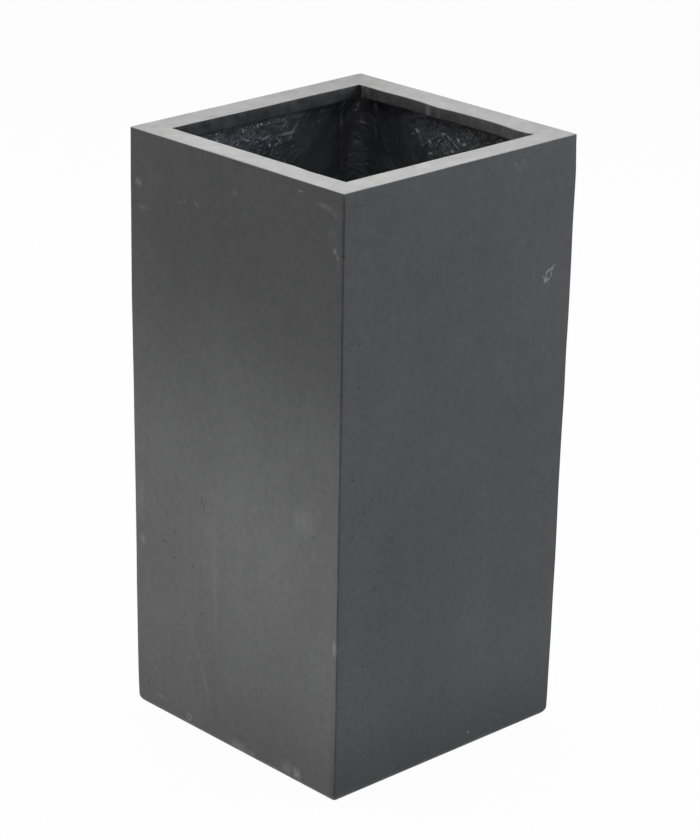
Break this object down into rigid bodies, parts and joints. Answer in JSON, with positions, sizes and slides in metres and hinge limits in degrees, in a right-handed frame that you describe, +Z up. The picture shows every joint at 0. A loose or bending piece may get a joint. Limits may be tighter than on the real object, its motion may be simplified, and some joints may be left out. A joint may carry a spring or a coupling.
{
  "type": "tall planter",
  "caption": "Tall square floor planter in grey fibreglass, slightly drafted, with a flat rim, a short hanging lip, a mat-lined hollow and a plugged drain hole.",
  "frame": {"origin": "centre of the foot, on the surface that the planter stands on", "axes": "+Z up, -Y towards the front face, +X to the right"},
  "size_m": [0.348, 0.348, 0.7],
  "materials": {
    "grey_gelcoat": "matt mineral gelcoat, fine sanded mottling and pinholes",
    "black_laminate": "glossy black resin over chopped-strand mat",
    "black_rubber": "matt moulded rubber"
  },
  "bodies": {
    "planter": {"outer_shell": "grey_gelcoat", "rim_flange": "grey_gelcoat", "lip_strip_front": "grey_gelcoat", "lip_strip_right": "grey_gelcoat", "lip_strip_back": "grey_gelcoat", "lip_strip_left": "grey_gelcoat", "lip_corner_bead_front_right": "grey_gelcoat", "lip_corner_bead_back_right": "grey_gelcoat", "lip_corner_bead_back_left": "grey_gelcoat", "lip_corner_bead_front_left": "grey_gelcoat", "base_laminate": "black_laminate", "wall_laminate_front": "black_laminate", "wall_laminate_right": "black_laminate", "wall_laminate_back": "black_laminate", "wall_laminate_left": "black_laminate", "base_strip_front": "black_laminate", "base_strip_right": "black_laminate", "base_strip_back": "black_laminate", "base_strip_left": "black_laminate", "rim_strip_front": "black_laminate", "rim_strip_right": "black_laminate", "rim_strip_back": "black_laminate", "rim_strip_left": "black_laminate", "corner_strip_front_right": "black_laminate", "corner_strip_back_right": "black_laminate", "corner_strip_back_left": "black_laminate", "corner_strip_front_left": "black_laminate"},
    "drain_plug": {"drain_plug": "black_rubber"}
  },
  "joints": [
    {"name": "drain_plug_pull", "type": "slide", "parent": "planter", "child": "drain_plug", "axis": [0, 0, -1], "range_m": [0, 0.03]}
  ]
}
